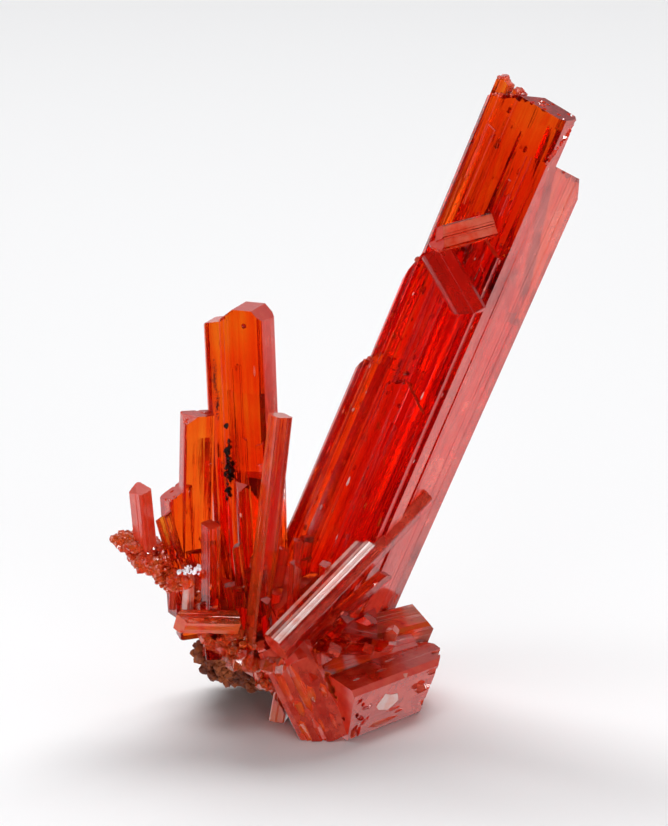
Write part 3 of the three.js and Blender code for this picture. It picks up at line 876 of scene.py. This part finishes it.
crystals = combined(crystals, knocked, "DIFFERENCE", "crystals_skin")
print(len(knocked), "knocks:", len(crystals.data.polygons), "faces")

# %% [markdown]
# ## Trimming to size
# Some grains and tips reach past the plain solids. Scaling everything down would shift the pieces, so a
# box cuts off what sticks out, and the rest is brought to metres.

# %% Inside the plain box, and into metres
BOX_FACES = [(0, 2, 3, 1), (4, 5, 7, 6), (0, 1, 5, 4), (1, 3, 7, 5), (3, 2, 6, 7), (2, 0, 4, 6)]
TO_METRES = Matrix.Scale(MM, 4) @ Matrix.Translation(-Vector(MIDDLE))


def box_between(low, high):
    """A box from its lowest to its highest corner, in millimetres."""
    corners = [(x, y, z) for z in (low[2], high[2]) for y in (low[1], high[1]) for x in (low[0], high[0])]
    box = mesh_object("box", corners, BOX_FACES)
    grain_map(box.data, 0, 0.5)
    return box


def fitted(piece, name):
    """The part of a piece inside the box of the plain solids, in metres from the frame's origin."""
    low, high = (np.array(corner) / MM + MIDDLE for corner in solid_box)
    made = combined(piece, [box_between((*low[:2], 0), high)], "INTERSECT", name)
    made.data.transform(TO_METRES)
    return made


crystals = fitted(crystals, "crystals_skin")
print("crystals:", len(crystals.data.polygons), "faces", [round(c * 1000, 2) for c in crystals.dimensions])

# %% [markdown]
# ## Dark specks
# A dark mineral sits in the tall upright, from fine dust to grains of nearly half a millimetre. Painted
# on the skin it would look flat, so it is made of real grains, which the clear crystal bends and reddens.
# Two streaks of the finest dust lie just in front of the left blade instead, where they stay dark.

# %% Dark specks in the tall upright
SPECK_EGGS = [
    ((-8.85, 2.3, 22.6), (0.1, 0.2, 0.2), 10),
    ((-8.7, 2.3, 20.6), (0.3, 0.2, 1.0), 60),
    ((-8.6, 2.3, 18.9), (0.5, 0.25, 0.9), 120),
    ((-8.75, 2.3, 17.2), (0.34, 0.25, 0.9), 36),
]
DUST_EGGS = [((-8.65, 2.3, 19.4), (0.8, 0.3, 2.4), 420), ((-8.6, 2.3, 19.0), (0.6, 0.3, 1.3), 400)]
STREAK_EGGS = [((-9.7, 2.4, 26.4), (0.26, 0.3, 1.8), 260), ((-9.5, 2.4, 24.2), (0.26, 0.3, 1.6), 260)]
FILLED = 0.05  # an egg that holds grains nearly down to its middle
specks = [
    grains_on(SPECK_EGGS, (0.03, 0.22), 83, FILLED),
    grains_on(DUST_EGGS, (0.012, 0.05), 89, FILLED),
    grains_on(STREAK_EGGS, (0.012, 0.045), 87, FILLED),
]
dark_specks = loose_grains("dark_specks", np.concatenate(specks))
print("specks:", len(dark_specks.data.polygons) // len(GRAIN_FACES))

# %% [markdown]
# ## White sparkle
# A small white patch glitters on the crust. Its grains are white under any light, a painted highlight:
# they stand in for the glints of small clear shards. A few dozen loose grains are enough, since each has
# many small faces.

# %% White sparkle on the crust
SPARKLE_EGGS = [
    ((-12.1, -2.5, 12.5), (0.4, 0.25, 0.15), 20),
    ((-11.5, -2.6, 12.8), (0.45, 0.25, 0.35), 34),
    ((-11.0, -2.5, 12.7), (0.25, 0.25, 0.45), 20),
]
# the grains' white is a painted highlight for the glints of small clear shards
sparkle = loose_grains("white_sparkle", grains_on(SPARKLE_EGGS, (0.05, 0.18), 86))
print("sparkle:", len(sparkle.data.polygons) // len(GRAIN_FACES))

# %% [markdown]
# ## The gossan
# The brown scrap under the left side is gossan, a rough lump of iron oxide. Its shape is two overlapping
# balls on grids of longitude and latitude, pushed out where round knobs sit, with the knobs scattered at
# random and small grains lying over all of it.


# %% The knobbly lump
KNOB_SPREADS = (0.08, 0.2)  # radians from the middle of a knob to its edge
KNOB_HEIGHTS = (0.6, 1.3)  # times its spread
BALL_SHARE = 0.82  # of the reach that the ball itself takes up, without its knobs
RIPPLE = 0.02  # share of the reach that the widest wave moves the skin in and out


def knobbly(middle, reach, knobs, seed, rows=110, columns=220):
    """Points and faces of a ball whose distance from the middle is its share + the tallest knob there + a
    ripple. A knob at direction k adds height * sqrt(1 - (angle to k / spread)**2) inside its spread."""
    rng = np.random.default_rng(seed)
    polar = (np.arange(rows) + 0.5)[:, None] * math.pi / rows
    bearing = (np.arange(columns) * 2 * math.pi / columns)[None]
    out, up = np.sin(polar), np.cos(polar)
    way = np.stack([out * np.cos(bearing), out * np.sin(bearing), up + 0 * bearing], -1)
    seeds = rng.normal(size=(knobs, 3))
    seeds /= np.linalg.norm(seeds, axis=1, keepdims=True)
    spread, tall = rng.uniform(*KNOB_SPREADS, knobs), rng.uniform(*KNOB_HEIGHTS, knobs)
    angle = np.arccos(np.clip(way.reshape(-1, 3) @ seeds.T, -1, 1))
    bumps = np.clip(1 - (angle / spread) ** 2, 0, None) ** 0.5 * spread * tall
    bump = bumps.max(1).reshape(rows, columns)
    ripple = sum(np.sin(way @ rng.normal(0, 9 * 2**k, 3) + rng.uniform(0, 6)) / 2**k for k in range(4))
    distance = (BALL_SHARE + bump + RIPPLE * ripple)[..., None]
    points = np.array(middle) + way * distance * np.array(reach)
    return points.reshape(-1, 3), tube_faces(rows, columns)


# a ball is (middle, reach, seed), and an egg of grains (middle, reach, how many)
GOSSAN_BALLS = [((-8.7, 1.8, 4.0), (2.9, 3.6, 2.4), 91), ((-5.8, 3.2, 1.9), (3.3, 3.4, 2.2), 92)]
GOSSAN_EGGS = [((-8.7, 1.7, 3.9), (2.9, 3.6, 2.3), 420), ((-6.0, 3.0, 2.2), (3.1, 3.2, 1.7), 340)]
KNOBS = 260  # to a ball
lumps = [mesh_object("lump", *knobbly(middle, reach, KNOBS, seed)) for middle, reach, seed in GOSSAN_BALLS]
gossan = combined(lumps[0], lumps[1:], "UNION", "gossan_skin")
gossan = fitted(gossan, "gossan_skin")
rust_grains = loose_grains("gossan_grains", grains_on(GOSSAN_EGGS, (0.14, 0.5), 84))
print("gossan:", len(gossan.data.polygons), "faces and", len(rust_grains.data.polygons), "on its grains")

# %% [markdown]
# ## Paint with expressions
# A procedural finish is a formula over the surface. The wrapper below lets it be written as one: a number
# socket can be added to, multiplied and so on, and each sign adds one Math node.


# %% Numbers
class Number:
    """A number socket. Each sign between two of them, or with a plain number, adds one Math node."""

    def __init__(self, paint, socket):
        self.paint, self.socket = paint, socket

    def math(self, operation, *others):
        values = {index: value for index, value in enumerate([self, *others])}
        return self.paint.number("ShaderNodeMath", {"operation": operation}, values)

    def __add__(self, other):
        return self.math("ADD", other)

    __radd__ = __add__

    def __mul__(self, other):
        return self.math("MULTIPLY", other)

    __rmul__ = __mul__

    def __sub__(self, other):
        return self.math("SUBTRACT", other)

    def __rsub__(self, other):
        return self.paint.number("ShaderNodeMath", {"operation": "SUBTRACT"}, {0: other, 1: self})

    def step(self, low, high, before=0.0, after=1.0):
        """One value up to low, another from high on, and a smooth change between."""
        limits = {"Value": self, "From Min": low, "From Max": high, "To Min": before, "To Max": after}
        return self.paint.number("ShaderNodeMapRange", {"interpolation_type": "SMOOTHSTEP"}, limits)


# %% Nodes and paints
class Nodes:
    """The nodes of a material or of the sky."""

    def __init__(self, owner):
        owner.use_nodes = True
        self.tree = owner.node_tree
        self.tree.nodes.clear()

    def node(self, kind, settings=None, values=None):
        """A new node: its settings, a ramp's stops as (place, colour) pairs, then values or links."""
        node = self.tree.nodes.new(kind)
        for key, setting in (settings or {}).items():
            if key == "stops":
                ramp = node.color_ramp
                while len(ramp.elements) < len(setting):
                    ramp.elements.new(1.0)
                for element, (place, colour) in zip(ramp.elements, setting):
                    element.position, element.color = place, (*colour, 1)
            else:
                setattr(node, key, setting)
        for key, value in (values or {}).items():
            self.feed(node.inputs[key], value)
        return node

    def feed(self, socket, value):
        """Links or sets one socket."""
        value = value.socket if isinstance(value, Number) else value
        if isinstance(value, bpy.types.NodeSocket):
            self.tree.links.new(value, socket)
        else:
            socket.default_value = value

    def number(self, kind, settings, values):
        return Number(self, self.node(kind, settings, values).outputs[0])

    def colour(self, stops, amount):
        """The colour at amount on a ramp of (place, colour) stops."""
        return self.node("ShaderNodeValToRGB", {"stops": stops}, {"Fac": amount}).outputs["Color"]

    def noise(self, place, scale, detail, roughness):
        """Cloudy noise from 0 to 1 at a place."""
        values = {"Vector": place, "Scale": scale, "Detail": detail, "Roughness": roughness}
        return self.number("ShaderNodeTexNoise", {}, values)

    def stretched(self, place, scale):
        """A place stretched by a different number each way."""
        return self.node("ShaderNodeMapping", {}, {"Vector": place, "Scale": scale}).outputs[0]


class Paint(Nodes):
    """A material and its main shader."""

    def __init__(self, name):
        self.material = bpy.data.materials.new(name)
        super().__init__(self.material)
        self.out = self.node("ShaderNodeOutputMaterial")
        self.shader = self.node("ShaderNodeBsdfPrincipled")
        self.feed(self.out.inputs["Surface"], self.shader.outputs[0])

    def set(self, **values):
        """Values or links of the main shader, with underscores for the spaces in its socket names."""
        for key, value in values.items():
            self.feed(self.shader.inputs[key.replace("_", " ")], value)

    def overlay(self, amount, **values):
        """A second shader with its own values, laid over the main one by amount."""
        named = {key.replace("_", " "): value for key, value in values.items()}
        second = self.node("ShaderNodeBsdfPrincipled", {}, named)
        both = {0: amount, 1: self.shader.outputs[0], 2: second.outputs[0]}
        self.feed(self.out.inputs["Surface"], self.node("ShaderNodeMixShader", {}, both).outputs[0])


# %% [markdown]
# ## Crocoite
# The crystals are clear but strongly coloured: white light turns orange after a millimetre or two and
# deep red after five. A diffuse red would look like plastic, so the skin lets light in and bends it, and
# the inside swallows green and blue. On the skin, streaks along the crystal vary the tint, and finer ones
# roughen it.

# %% The clear crystal
CLEAR_SKIN = [(0.0, (0.86, 0.06, 0.01)), (0.5, (1.0, 0.2, 0.03)), (1.0, (1.0, 0.55, 0.08))]
crocoite = Paint("crocoite")
grain = crocoite.node("ShaderNodeUVMap", {"uv_map": "grain"}).outputs[0]
long_streaks = crocoite.noise(crocoite.stretched(grain, (1.6, 0.05, 1)), 1.0, 3.0, 0.6)
fine_streaks = crocoite.noise(crocoite.stretched(grain, (9.0, 0.25, 1)), 1.0, 2.0, 0.6)
body = crocoite.node("ShaderNodeTexCoord").outputs["Object"]
clouds = crocoite.noise(body, 140.0, 3.0, 0.55)
tone = (long_streaks * 0.55 + clouds * 0.45).step(0.3, 0.7)
crocoite.set(Base_Color=crocoite.colour(CLEAR_SKIN, tone), Metallic=0.0, IOR=1.8, Transmission_Weight=1.0)
crocoite.set(Roughness=(fine_streaks * 0.12 + clouds * 0.06).step(0.0, 0.3) * 0.16 + 0.01)
bump = crocoite.node("ShaderNodeBump", {}, {"Strength": 0.25, "Distance": 0.00004, "Height": fine_streaks})
crocoite.set(Normal=bump.outputs[0])
inside = {"Color": (0.959, 0.59, 0.1, 1), "Density": 1300.0}
absorb = crocoite.node("ShaderNodeVolumeAbsorption", {}, inside)
crocoite.feed(crocoite.out.inputs["Volume"], absorb.outputs[0])
print("clear crystal:", len(crocoite.tree.nodes), "nodes")

# %% [markdown]
# ## Cloudy crystal
# Tips, frosted sides, fresh breaks and the crust are cloudy, from dark red through orange-red and pink to
# nearly white. A second shader, partly clear and glossy, is laid over the first one. The map called habit
# says where, and noise breaks up its edge. It also says how pale, and the lowest paleness of all stands
# for the orange of the crust. On a few marks the ends of this ramp are painted light: the nearly white
# chips and the pale side of the splint stand in for glints, and the dark red of one pit and of one small
# crystal stands in for shade.

# %% The cloudy crystal
# its nearly white and dark red stops also serve as painted glints and painted shade
CLOUDY_SKIN_AND_PAINTED_LIGHT = [
    (0.0, (1.0, 0.15, 0.025)),
    (0.07, (0.98, 0.075, 0.015)),
    (0.14, (0.6, 0.01, 0.003)),
    (0.3, (0.5, 0.006, 0.002)),
    (0.48, (0.86, 0.03, 0.008)),
    (0.62, (0.93, 0.085, 0.035)),
    (0.75, (0.93, 0.23, 0.14)),
    (0.88, (0.95, 0.58, 0.52)),
    (1.0, (0.96, 0.86, 0.84)),
]
habit_map = crocoite.node("ShaderNodeUVMap", {"uv_map": "habit"}).outputs[0]
habit = crocoite.node("ShaderNodeSeparateXYZ", {}, {0: habit_map})
cloudy, pale = Number(crocoite, habit.outputs["X"]), Number(crocoite, habit.outputs["Y"])
curds = crocoite.noise(body, 900.0, 4.0, 0.62)
milk = (cloudy + long_streaks * 0.2 + clouds * 0.5 + curds * 0.4).step(0.72, 1.4)
paleness = long_streaks * 0.16 + clouds * 0.25 + curds * 0.4 + pale * 0.6 - 0.15
crocoite.overlay(
    milk,
    Base_Color=crocoite.colour(CLOUDY_SKIN_AND_PAINTED_LIGHT, paleness),
    Roughness=fine_streaks * 0.08 + 0.14,
    IOR=2.3,
    Transmission_Weight=0.4,
    Normal=bump.outputs[0],
)
print("with the cloudy finish:", len(crocoite.tree.nodes), "nodes")

# %% [markdown]
# ## Gossan finish
# Iron oxide is dull and runs from near black through rust to ochre. Blotches and grit, two sizes of
# noise, mix these colours and roughen the skin.

# %% Gossan
RUST_SKIN = [
    (0.28, (0.02, 0.005, 0.003)),
    (0.45, (0.14, 0.024, 0.008)),
    (0.6, (0.3, 0.07, 0.018)),
    (0.78, (0.42, 0.16, 0.06)),
]
rust = Paint("gossan")
lump_body = rust.node("ShaderNodeTexCoord").outputs["Object"]
blotches = rust.noise(lump_body, 500.0, 5.0, 0.6)
grit = rust.noise(lump_body, 2600.0, 3.0, 0.6)
rust_skin = rust.colour(RUST_SKIN, blotches * 0.7 + grit * 0.3)
rough = {"Strength": 0.7, "Distance": 0.00015, "Height": grit * 0.6 + blotches}
rust_bump = rust.node("ShaderNodeBump", {}, rough)
rust.set(Base_Color=rust_skin, Roughness=0.55 + blotches * 0.3, Normal=rust_bump.outputs[0])
print("gossan:", len(rust.tree.nodes), "nodes")

# %% [markdown]
# ## Two plain finishes
# The white grains and the dark specks are too small to show a pattern, so each has one colour. The white
# of the grains is a painted highlight that stands in for the glints of small clear shards.

# %% White grains and dark specks
white = Paint("white_glint_grains")
white.set(Base_Color=(0.93, 0.9, 0.95, 1), Roughness=0.08, IOR=1.7)
black = Paint("dark_inclusion")
black.set(Base_Color=(0.012, 0.005, 0.004, 1), Roughness=0.6)
print("white grains and dark specks are ready")

# %% Pieces on the frame
for piece, paint, nodes, slot in (
    (crystals, crocoite, ("crystals",), "crocoite"),
    (dark_specks, black, ("crystals",), "gossan"),
    (sparkle, white, ("crystals",), "crocoite"),
    (gossan, rust, ("matrix",), "gossan"),
    (rust_grains, rust, ("matrix",), "gossan"),
):
    piece.data.materials.clear()
    piece.data.materials.append(paint.material)
    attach(piece, "root")
    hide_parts(*nodes)
print("pieces ready")

# %% [markdown]
# ## Studio
# The specimen stands on a pale floor that runs out of sight. A wide soft lamp high behind it shines
# through the clear crystals, and with the ceiling keeps the shadow small. Two small lamps above add
# glints. Two low ones on the camera's side light the front faces, and the right one is mirrored in them
# as a pale sheen. The floor, the key, the ceiling and the left lamp aren't mirrored in the crystals,
# which would whiten them.

# %% Floor
FLOOR_HALF = 2.0
FLOOR_DROP = 0.00005  # keeps the floor just under the flat undersides that rest on it
corners = [(x * FLOOR_HALF, y * FLOOR_HALF, 0) for x, y in ((-1, -1), (1, -1), (1, 1), (-1, 1))]
floor = mesh_object("floor", corners, [(0, 1, 2, 3)])
floor.location.z = -FLOOR_DROP
paper = Paint("floor_paper")
paper.set(Base_Color=(0.9, 0.9, 0.91, 1), Roughness=0.9, Specular_IOR_Level=0.1)
floor.data.materials.append(paper.material)
floor.visible_glossy = False
print("floor:", [round(c, 1) for c in floor.dimensions], "m")


# %% Lamps
LAMP_AIM = (0, 0, 20)
STRAIGHT_DOWN = (0, 0, 0)
LEVEL = (-math.pi / 2, 0, 0)  # from the back to the front
# name, place, width and height in mm, watts, how it is turned, and whether the crystals mirror it
LAMPS = [
    ("key", (-60, 900, 1650), (2000, 1000), 64.0, LEVEL, False),
    ("ceiling", (-80, 300, 900), (1700, 1400), 4.0, STRAIGHT_DOWN, False),
    ("top", (60, 150, 420), (460, 520), 0.12, STRAIGHT_DOWN, True),
    ("right_fill", (250, -400, 45), (300, 60), 1.0, None, True),
    ("left_fill", (-250, -400, 45), (300, 60), 1.0, None, False),
    ("glint", (-88, -20, 420), (90, 90), 0.12, None, True),
]


def area_lamp(name, place, size, power, turn, mirrored):
    """A flat soft lamp, turned as told or else towards the specimen's middle."""
    data = bpy.data.lights.new(name, "AREA")
    data.shape, data.size, data.size_y = "RECTANGLE", size[0] * MM, size[1] * MM
    data.energy = power
    lamp = bpy.data.objects.new(name, data)
    lamp.location = Vector(place) * MM
    toward = Vector(LAMP_AIM) * MM - lamp.location
    lamp.rotation_euler = toward.to_track_quat("-Z", "Y").to_euler() if turn is None else turn
    lamp.visible_glossy = mirrored
    bpy.context.scene.collection.objects.link(lamp)


for lamp in LAMPS:
    area_lamp(*lamp)
print(len(LAMPS), "lamps")

# %% [markdown]
# ## Sky
# The clear crystals show what is behind and beside them, so the sky matters more than on a dull object.
# It is white behind the specimen and dark behind the camera, and it fades upwards. It is kept off dull
# surfaces, because it would wash out the shadow.

# %% Sky
sky = bpy.data.worlds.new("studio")
sky.cycles_visibility.diffuse = False
bpy.context.scene.world = sky
air = Nodes(sky)
way = air.node("ShaderNodeSeparateXYZ", {}, {0: air.node("ShaderNodeTexCoord").outputs["Generated"]})
lit = Number(air, way.outputs["Y"]).step(-0.35, 0.1, 0.01, 1.0)
fading = Number(air, way.outputs["Z"]).step(0.05, 0.4, 0.85, 0.3)
glow = air.node("ShaderNodeBackground", {}, {"Color": (0.97, 0.98, 1.0, 1), "Strength": lit * fading})
air.node("ShaderNodeOutputWorld", {}, {"Surface": glow.outputs[0]})
print("sky:", len(air.tree.nodes), "nodes")

# %% [markdown]
# ## Camera
# A long lens looks down by twenty degrees, from about three and a half times the specimen's height away.

# %% Camera
CAMERA_TARGET = (-0.68, -2.02, 24.5)
CAMERA_DISTANCE = 173
LOOKING_DOWN = math.radians(20)
camera_data = bpy.data.cameras.new("camera")
camera_data.lens, camera_data.sensor_width = 100, 36
camera_data.clip_start, camera_data.clip_end = 0.01, 20
camera = bpy.data.objects.new("camera", camera_data)
back = Vector((0, -math.cos(LOOKING_DOWN), math.sin(LOOKING_DOWN)))
camera.location = Vector(CAMERA_TARGET) * MM + back * CAMERA_DISTANCE * MM
camera.rotation_euler = (-back).to_track_quat("-Z", "Y").to_euler()
bpy.context.scene.collection.objects.link(camera)
bpy.context.scene.camera = camera
print("camera at", [round(c, 3) for c in camera.location])

# %% [markdown]
# ## Light paths
# Light crosses many walls in a striped crystal, so it needs more bounces than usual. Bright paths are
# held back a little, which keeps the render free of white dots.

# %% Light paths
scene = bpy.context.scene
scene.view_settings.view_transform = "Standard"
scene.cycles.max_bounces = 32
scene.cycles.transmission_bounces = 24
scene.cycles.glossy_bounces = 24
scene.cycles.diffuse_bounces = 3
scene.cycles.volume_bounces = 0
scene.cycles.caustics_reflective = False
scene.cycles.caustics_refractive = True
scene.cycles.sample_clamp_indirect = 4.0
print("bounces:", scene.cycles.max_bounces)
